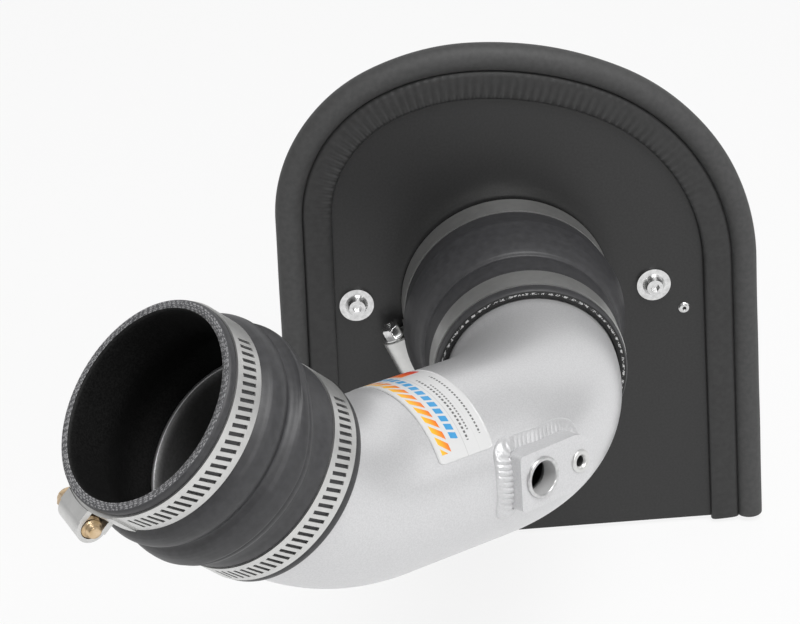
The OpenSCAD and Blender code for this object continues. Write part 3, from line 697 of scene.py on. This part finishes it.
def tube_body():
    """The bent tube: a circle carried along straight, bend, straight, bend and straight. Point (i, j) is
    centre_i + r (cos a_j x_i + sin a_j y_i), once with the outer and once with the inner radius."""
    count = 264
    a = np.linspace(0, 2 * np.pi, count, endpoint=False)
    stations = tube_stations()
    rings = []
    for r, row in ((TUBE_R, stations), (TUBE_R - TUBE_WALL, stations[::-1])):
        circle = np.stack([r * np.cos(a), r * np.sin(a), 0 * a], 1)
        rings += [place.put(circle) for place in row]
    rings = np.array(rings)
    p = rings.reshape(-1, 3)
    f = outward(p, grid_faces(len(rings), count, close_rows=True))
    # inner rings take the inside finish, which is painted shade
    slots = np.repeat(np.arange(len(rings)) >= len(stations), count).astype(int)
    body = new_piece("tube_body", p, f, [tube_coat, tube_inside_painted_shade], slots, ["intake_pipe"])
    n = DRILL_ROUND
    a = np.linspace(0, 2 * np.pi, n, endpoint=False)
    ends = np.concatenate([
        np.stack([TUBE_HOLE_R * np.cos(a) - SENSOR_OFF, TUBE_HOLE_R * np.sin(a), 0 * a + z], 1)
        for z in (DRILL_LOW, DRILL_HIGH)])
    caps = [list(range(n))[::-1], list(range(n, 2 * n))]
    drill = new_piece("drill", at_pad.put(ends), outward(ends, grid_faces(2, n) + caps), [tube_inside_painted_shade])
    cut = body.modifiers.new("bore", "BOOLEAN")
    cut.object = drill
    cut.solver = "EXACT"
    whole = body.evaluated_get(bpy.context.evaluated_depsgraph_get())
    mesh = bpy.data.meshes.new_from_object(whole)
    body.modifiers.clear()
    body.data = mesh
    bpy.data.objects.remove(drill)


SENSOR_OFF, INSERT_OFF, PAD_H = 9.2, 12.7, 44.5


def fitting(name, profile, place, finishes, cad, dark_below=0.0, thread=0.0):
    """A small turned fitting: its closed profile goes round its axis; a thread is a helix on the bore."""
    line = smooth_line(profile, 150)

    def helix(a, r, z):
        """A thread of 0.8 mm pitch on the bore's wall."""
        turns = (z / 0.8 + a / (2 * np.pi)) % 1.0
        return thread * np.abs(2 * turns - 1) * (r < 2.4) * (z < 0.2)

    p, f = turned(line, 96, helix if thread else None)
    rows = np.repeat(np.arange(len(line)), 96)
    # faces nearer the axis than dark_below take the second finish: the bore's own satin in the grommet,
    # painted shade in the insert and the rivet
    slots = (line[rows, 0] < dark_below).astype(int)
    new_piece(name, place.put(p), outward(p, f), finishes, slots, [cad])


tube_body()
fitting("grommet_ring", [
    (6.9, -5.85), (6.9, -2.0), (6.9, 0.55), (7.0, 0.85), (7.35, 1.15), (7.6, 1.2), (8.1, 1.2), (8.45, 1.1),
    (8.68, 0.75), (8.7, 0.3), (8.7, 0.02), (7.82, 0.02), (7.8, -0.3), (7.8, -3.0), (7.8, -5.85), (7.4, -5.9)],
    at_pad.then([-SENSOR_OFF, 0, PAD_H]), [machined, bore_satin], "sensor_grommet", 6.95)
# the insert's bore takes the near-black second finish: painted shade in the hole
fitting("threaded_insert", [
    (0.02, -4.6), (2.0, -4.6), (2.1, -4.3), (2.1, -2.0), (2.1, -0.7), (2.4, -0.1), (2.9, 0.7), (3.2, 0.9),
    (4.2, 0.9), (4.6, 0.8), (4.85, 0.5), (4.9, 0.1), (4.88, 0.02), (3.52, 0.02), (3.5, -0.3), (3.5, -5.4),
    (3.3, -5.55), (0.02, -5.6)],
    at_pad.then([INSERT_OFF, 0, PAD_H]), [insert_zinc, painted_recess_shade], "sensor_insert", 2.15, 0.22)
# the rivet's hole takes the near-black second finish: painted shade in the hole
fitting("blind_rivet", [
    (0.02, 0.35), (0.7, 0.35), (0.78, 0.5), (0.85, 1.05), (1.05, 1.2), (1.5, 1.2), (2.2, 0.95), (2.75, 0.5),
    (2.88, 0.15), (2.86, 0.02), (1.62, 0.02), (1.6, -0.2), (1.6, -1.95), (1.7, -2.02), (2.5, -2.02),
    (2.56, -2.2), (2.5, -2.9), (2.2, -3.15), (1.6, -3.2), (0.02, -3.2)],
    shield_front.then([85.0, -13.7, 0]), [white_zinc, painted_recess_shade], "shield_rivet", 0.82)


# ---------------------------------------------------------------- label
LABEL_WIDE = 28.0


def label_material():
    """Printed film with plain colour fields: u runs across the label from the throttle side, v along it."""
    m, b = material("label_film", tone(0.66), 0.3)
    m_uv = node(m, "ShaderNodeUVMap")
    m_uv.uv_map = "print"
    split = node(m, "ShaderNodeSeparateXYZ")
    wire(m, m_uv.outputs["UV"], split.inputs["Vector"])

    def between(x, lo, hi):
        """1 where x lies between the two bounds."""
        return calc(m, "MULTIPLY", calc(m, "GREATER_THAN", x, lo), calc(m, "LESS_THAN", x, hi))

    u, v = calc(m, "SUBTRACT", LABEL_WIDE, split.outputs["X"]), split.outputs["Y"]

    def fade(x, lo, hi, c0, c1):
        """Colour that goes from c0 at lo to c1 at hi."""
        r = node(m, "ShaderNodeValToRGB")
        r.color_ramp.elements[0].color = (*c0, 1)
        r.color_ramp.elements[1].color = (*c1, 1)
        wire(m, calc(m, "DIVIDE", calc(m, "SUBTRACT", x, lo), hi - lo), r.inputs["Fac"])
        return r.outputs["Color"]

    def broken(pitch, share, slope):
        """Slanted bars along v: share of each pitch is 1."""
        t = calc(m, "FRACT", calc(m, "DIVIDE", calc(m, "ADD", v, calc(m, "MULTIPLY", u, slope)), pitch))
        return calc(m, "LESS_THAN", t, share)

    def marks(lo, hi, start, end, pitch, share, slope):
        """Slanted bars in one column of u, between two places along v."""
        return calc(m, "MULTIPLY", between(u, lo, hi),
                    calc(m, "MULTIPLY", between(v, start, end), broken(pitch, share, slope)))

    paper = tone(0.66)
    sun = fade(u, 2.6, 7.4, (0.93, 0.55, 0.04), (0.80, 0.16, 0.02))
    red = fade(u, 16.0, 26.0, (0.88, 0.20, 0.02), (0.78, 0.03, 0.05))
    color = paper
    for mask, ink in (
            (marks(2.6, 7.4, 3.5, 74, 5.2, 0.66, 0.9), sun),
            (marks(9.6, 13.0, 8, 70, 3.9, 0.70, 0.3), (0.06, 0.32, 0.62)),
            (between(u, 14.6, 14.85), tone(0.5)), (between(u, 20.9, 21.1), tone(0.6)),
            (marks(16.6, 17.6, 6, 42, 1.8, 0.58, 0.0), tone(0.12)),
            (marks(18.7, 19.5, 10, 36, 1.4, 0.58, 0.0), tone(0.16)),
            (marks(23.4, 24.3, 7, 42, 1.6, 0.58, 0.0), tone(0.14)),
            (calc(m, "MULTIPLY", between(u, 15.6, 25.4), between(v, 50, 61)), red),
            (between(v, 47.9, 48.15), tone(0.6))):
        color = lay(m, color, mask, ink)
    wire(m, color, b.inputs["Base Color"])
    return m


def pipe_label():
    """Film wrapped on the straight between the bends: (u, v) goes to (r cos a, r sin a, z) with
    a = start + v / r; the corners are rounded by drawing the ends of each row in."""
    wide, radius = LABEL_WIDE, TUBE_R + 0.06
    long = math.radians(118.0) * radius
    v = np.concatenate([np.linspace(0, 2, 12), np.linspace(2.4, long - 2.4, 150),
                        np.linspace(long - 2, long, 12)])
    ends = np.clip(2 - np.minimum(v, long - v), 0, 2)
    draw = 2 - np.sqrt(np.clip(4 - ends ** 2, 0, 4))
    s = np.linspace(0, 1, 24)
    u = draw[:, None] + s[None] * (wide - 2 * draw[:, None])
    a = math.radians(-146.0) + v[:, None] / radius + 0 * u
    top = radius + 0.24
    shell = []
    for r in (radius, top):
        shell.append(np.stack([r * np.cos(a), r * np.sin(a), 19.5 + u], -1).reshape(-1, 3))
    n, m = u.shape
    f = [q[::-1] for q in grid_faces(n, m, close_cols=False)]
    f += grid_faces(n, m, close_cols=False, base=n * m)
    rim = ([j for j in range(m)] + [i * m + m - 1 for i in range(1, n)]
           + [(n - 1) * m + j for j in range(m - 2, -1, -1)] + [i * m for i in range(n - 2, 0, -1)])
    for i in range(len(rim)):
        k = rim[(i + 1) % len(rim)]
        f.append([rim[i], k, k + n * m, rim[i] + n * m])
    p = np.concatenate(shell)
    uv = np.tile(np.stack([u, v[:, None] + 0 * u], -1).reshape(-1, 2), (2, 1))
    new_piece("pipe_sticker", at_mid.put(p), outward(p, f), [label_material()], None,
              ["pipe_label"], uv)


pipe_label()


# ---------------------------------------------------------------- air filter
gauze, s = material("oiled_gauze", (0.22, 0.012, 0.01), 0.75)
speckle(gauze, s, 1500, (0.15, 0.008, 0.007), (0.30, 0.02, 0.015), 0.3)


def filter_pleats():
    """Pleated cone: the radius swings between the outer and the inner cone as a rounded triangle of the
    angle, 56 times round, and a second sheet 0.9 mm inside closes it."""
    count, per = 56, 14
    a = np.linspace(0, 2 * np.pi, count * per, endpoint=False)
    swing = 2 / np.pi * np.arcsin(0.97 * np.sin(count * a))
    y = np.linspace(51.2, 135.2, 60)
    share = (y - y[0]) / (y[-1] - y[0])
    outer = 70.0 + (58.0 - 70.0) * share
    rings = []
    for inset in (0.0, 0.9):
        low, high = outer - 12.6 - inset + 0.9, outer - 0.4 - inset
        r = (low + high)[:, None] / 2 + (high - low)[:, None] / 2 * swing[None]
        weave = 0.12 * np.sin(y * 2.2)[:, None]
        rings.append(np.stack([(r + weave) * np.cos(a), 0 * r + y[:, None], (r + weave) * np.sin(a)], -1))
    loop = np.concatenate([rings[0], rings[1][::-1]])
    p = loop.reshape(-1, 3)
    f = grid_faces(len(loop), len(a), close_rows=True)
    new_piece("filter_pleats", p, outward(p, f), [gauze], None, ["filter_media"])


filter_pleats()

# ---------------------------------------------------------------- camera
CAMERA_AT = np.array([-138.88, -1041.44, 515.64]) * MM
RIGHT = np.array([0.99468, -0.0991, -0.02798])
FORWARD = np.array([0.07628, 0.89159, -0.44638])
UP = np.array([0.06918, 0.44187, 0.89441])
FOCAL_PX, SENSOR_MM, PHOTO_WIDE = 2500, 36.0, 800

cam_data = bpy.data.cameras.new("camera")
cam_data.sensor_width = SENSOR_MM
cam_data.lens = FOCAL_PX * SENSOR_MM / PHOTO_WIDE
cam_data.clip_end = 20.0
camera = bpy.data.objects.new("camera", cam_data)
turn = np.eye(4)
turn[:3, 0], turn[:3, 1], turn[:3, 2], turn[:3, 3] = RIGHT, UP, -FORWARD, CAMERA_AT
camera.matrix_world = Matrix(turn.tolist())
bpy.context.scene.collection.objects.link(camera)
bpy.context.scene.camera = camera

# ---------------------------------------------------------------- studio
FLOOR_Z = cad_low.z - 0.002


def backdrop():
    """A flat floor that curves up behind the part: a quarter circle joins it to a wall."""
    n = 48
    a = np.linspace(0, math.pi / 2, n)
    depth = np.concatenate([[-6.0], 2.0 + 1.5 * np.sin(a), [3.5]])
    height = np.concatenate([[0.0], 1.5 * (1 - np.cos(a)), [6.0]]) + FLOOR_Z
    x = np.array([-8.0, 8.0])
    p = np.stack([np.repeat(x, len(depth)), np.tile(depth, 2), np.tile(height, 2)], 1)
    k = len(depth)
    i = np.arange(k - 1)
    f = np.stack([i, i + k, i + k + 1, i + 1], 1)
    mesh = bpy.data.meshes.new("backdrop")
    mesh.from_pydata(p.tolist(), [], f.tolist())
    mesh.polygons.foreach_set("use_smooth", np.ones(len(f), bool))
    o = bpy.data.objects.new("backdrop", mesh)
    bpy.context.scene.collection.objects.link(o)
    m, b = material("pale_backdrop", tone(0.9), 0.9)
    path = node(m, "ShaderNodeLightPath")
    seen = calc(m, "MAXIMUM", path.outputs["Is Camera Ray"],
                calc(m, "MAXIMUM", path.outputs["Is Glossy Ray"], path.outputs["Is Transmission Ray"]))
    white = node(m, "ShaderNodeEmission", strength=1.0)
    mix = node(m, "ShaderNodeMixShader")
    wire(m, calc(m, "MULTIPLY", seen, 0.86), mix.inputs[0])
    wire(m, b.outputs["BSDF"], mix.inputs[1])
    wire(m, white.outputs["Emission"], mix.inputs[2])
    wire(m, mix.outputs["Shader"], m.node_tree.nodes["Material Output"].inputs["Surface"])
    mesh.materials.append(m)
    return o


backdrop()

# the world lights the part at WORLD_LIGHT, and is white only to the camera past the floor's edge
WORLD_LIGHT = 0.385
world = bpy.data.worlds.new("studio")
bpy.context.scene.world = world
world.use_nodes = True
world.node_tree.nodes["Background"].inputs["Color"].default_value = (1, 1, 1, 1)
sky_path = node(world, "ShaderNodeLightPath")
wire(world, calc(world, "MULTIPLY_ADD", sky_path.outputs["Is Camera Ray"], 1 - WORLD_LIGHT, WORLD_LIGHT),
     world.node_tree.nodes["Background"].inputs["Strength"])


def lamp(name, at, aim, size, power):
    """A square area lamp at one point, turned to shine at another."""
    data = bpy.data.lights.new(name, "AREA")
    data.shape = "SQUARE"
    data.size = size
    data.energy = power
    o = bpy.data.objects.new(name, data)
    z = np.array(at, float) - np.array(aim, float)
    z /= np.linalg.norm(z)
    x = np.cross([0, 0, 1], z)
    x /= np.linalg.norm(x)
    t = np.eye(4)
    t[:3, 0], t[:3, 1], t[:3, 2], t[:3, 3] = x, np.cross(z, x), z, at
    o.matrix_world = Matrix(t.tolist())
    bpy.context.scene.collection.objects.link(o)


lamp("key", (0.30, -0.75, 1.6), (0, -0.05, 0), 0.9, 20.5)
lamp("fill", (1.4, -1.0, 0.8), (0, -0.05, 0), 1.2, 3.5)
lamp("front", (0.15, -1.40, 0.62), (-0.02, -0.12, 0), 0.35, 2.5)

bpy.context.scene.view_settings.view_transform = "Standard"
